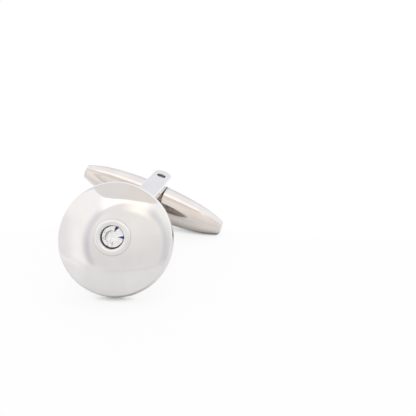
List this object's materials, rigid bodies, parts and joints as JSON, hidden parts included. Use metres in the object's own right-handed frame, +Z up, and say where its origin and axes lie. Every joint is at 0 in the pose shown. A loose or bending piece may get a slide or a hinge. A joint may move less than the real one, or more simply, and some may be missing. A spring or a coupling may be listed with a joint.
{
  "type": "cufflink",
  "caption": "Round domed cufflink with a bezel-set clear stone, a leaning forked post and a spindle toggle that turns on a pin to pass through buttonholes.",
  "frame": {"origin": "centre of the bottom of the bounding box, on the table that the cufflink lies on", "axes": "+Z up from the table; +Y from the face back towards the toggle; +X to the right of someone facing the dome"},
  "size_m": [0.0214, 0.0264, 0.0144],
  "materials": {
    "polished_plate": "bright white-metal plating, mirror polished",
    "satin_plate": "white-metal plating, polished with fine lengthwise brushing",
    "pin_steel": "turned steel",
    "crystal": "clear, faceted and polished",
    "foil": "silvered foil over clear cement",
    "plunger_brass": "turned brass",
    "spring_steel": "drawn spring wire"
  },
  "bodies": {
    "face": {"face_dome": "polished_plate", "back_plate": "polished_plate", "bezel_cup": "polished_plate", "stone_bed": "foil", "crystal": "crystal", "post_fork": "polished_plate", "pivot_pin": "pin_steel"},
    "toggle": {"toggle_barrel": "satin_plate", "barrel_plug": "satin_plate", "detent_spring": "spring_steel"},
    "plunger": {"detent_plunger": "plunger_brass"}
  },
  "joints": [
    {"name": "toggle_turn", "type": "hinge", "parent": "face", "child": "toggle", "pos_m": [0.00022, 0.00979, 0.00429], "axis": [0.3253, 0.0765, 0.9425], "range_deg": [-90, 90]},
    {"name": "plunger_slide", "type": "slide", "parent": "toggle", "child": "plunger", "axis": [0.9306, -0.2029, -0.3047], "range_m": [0, 0.00015]}
  ]
}
